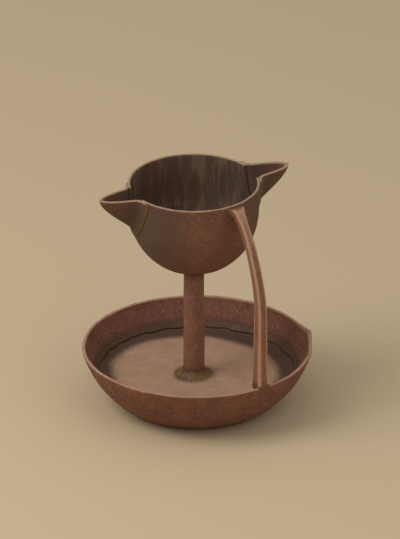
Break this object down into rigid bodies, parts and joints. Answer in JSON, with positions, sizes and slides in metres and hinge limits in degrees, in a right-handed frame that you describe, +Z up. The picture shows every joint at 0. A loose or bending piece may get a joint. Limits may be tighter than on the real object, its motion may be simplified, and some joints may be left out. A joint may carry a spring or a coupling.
{
  "type": "lard lamp",
  "caption": "Open lard lamp: a round font with two wick spouts on a stem, in a weighted drip pan, with a curved brace handle from the pan's rim to the font.",
  "frame": {"origin": "centre of the drip pan's underside, on the plane that it stands on", "axes": "+Z up, +X along the spouts towards the one on the right, the handle towards -Y"},
  "size_m": [0.1528, 0.1524, 0.1597],
  "materials": {
    "red_rusted_iron": "raised sheet iron with an even red-brown rust, matt",
    "worn_floor_iron": "sheet iron worn pale in the middle, with a dark greasy ring at its edge",
    "brown_iron_sheet": "raised sheet iron, grey-brown with rust speckle, matt",
    "forged_bar_iron": "forged bar, red-brown, rubbed paler on its arrises",
    "spelter": "brass braze, dull, granular and stained brown",
    "dry_sand": "dry sand, sealed in the base"
  },
  "bodies": {
    "root": {"drip_pan": "red_rusted_iron", "sand_fill": "dry_sand", "pan_floor": "worn_floor_iron", "pan_floor_braze": "spelter", "stem": "forged_bar_iron", "stem_foot_braze": "spelter", "font_bowl": "brown_iron_sheet", "stem_top_braze": "spelter", "left_spout": "brown_iron_sheet", "right_spout": "brown_iron_sheet", "left_spout_braze": "spelter", "right_spout_braze": "spelter", "handle": "forged_bar_iron", "handle_foot_braze": "spelter", "handle_top_braze": "spelter"}
  },
  "joints": []
}
